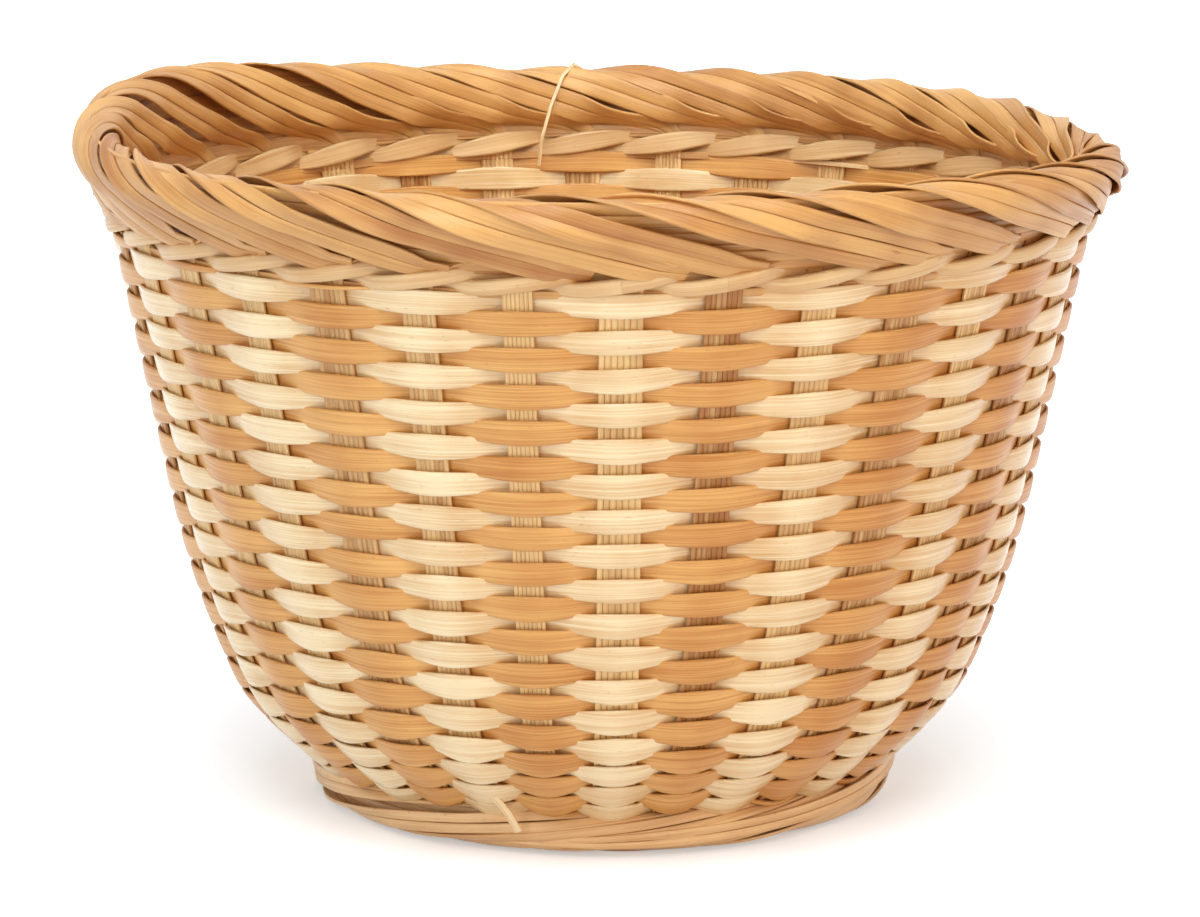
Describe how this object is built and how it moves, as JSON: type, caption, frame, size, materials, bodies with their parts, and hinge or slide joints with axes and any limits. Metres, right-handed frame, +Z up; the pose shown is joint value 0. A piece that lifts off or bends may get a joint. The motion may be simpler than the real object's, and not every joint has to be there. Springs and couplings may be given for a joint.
{
  "type": "bread basket",
  "caption": "Round deep basket woven of bamboo splints, with a rolled border and a low foot, for bread or small goods on a table",
  "frame": {"origin": "middle of the foot's underside, on the surface that the basket stands on", "axes": "+Z up along the basket's axis, -Y to the pictured front, +X to the right seen from the front"},
  "size_m": [0.2184, 0.2184, 0.148],
  "materials": {
    "stake_bamboo": "honey-brown split bamboo, satin",
    "light_bamboo": "pale cream bamboo skin, semi-gloss",
    "dark_bamboo": "honey-orange bamboo, semi-gloss",
    "twine_bamboo": "pale cream bamboo, satin",
    "foot_bamboo": "honey-brown split bamboo, satin"
  },
  "bodies": {
    "root": {"spoke_01": "stake_bamboo", "spoke_02": "stake_bamboo", "spoke_03": "stake_bamboo", "spoke_04": "stake_bamboo", "spoke_05": "stake_bamboo", "spoke_06": "stake_bamboo", "spoke_07": "stake_bamboo", "spoke_08": "stake_bamboo", "spoke_09": "stake_bamboo", "spoke_10": "stake_bamboo", "spoke_11": "stake_bamboo", "spoke_12": "stake_bamboo", "spoke_13": "stake_bamboo", "spoke_14": "stake_bamboo", "spoke_15": "stake_bamboo", "spoke_16": "stake_bamboo", "light_weaver_01": "light_bamboo", "light_weaver_02": "light_bamboo", "light_weaver_03": "light_bamboo", "light_weaver_04": "light_bamboo", "light_weaver_05": "light_bamboo", "light_weaver_06": "light_bamboo", "light_weaver_07": "light_bamboo", "light_weaver_08": "light_bamboo", "dark_weaver_01": "dark_bamboo", "dark_weaver_02": "dark_bamboo", "dark_weaver_03": "dark_bamboo", "dark_weaver_04": "dark_bamboo", "dark_weaver_05": "dark_bamboo", "dark_weaver_06": "dark_bamboo", "dark_weaver_07": "dark_bamboo", "dark_weaver_08": "dark_bamboo", "twine_front_even": "twine_bamboo", "twine_front_odd": "twine_bamboo", "foot_strand_01": "foot_bamboo", "foot_strand_02": "foot_bamboo", "foot_strand_03": "foot_bamboo", "foot_strand_04": "foot_bamboo", "foot_strand_05": "foot_bamboo", "foot_strand_06": "foot_bamboo", "foot_strand_07": "foot_bamboo", "foot_strand_08": "foot_bamboo", "foot_strand_09": "foot_bamboo", "foot_strand_10": "foot_bamboo", "foot_strand_11": "foot_bamboo", "foot_strand_12": "foot_bamboo", "foot_strand_13": "foot_bamboo", "foot_strand_14": "foot_bamboo", "foot_strand_15": "foot_bamboo", "foot_strand_16": "foot_bamboo"}
  },
  "joints": []
}
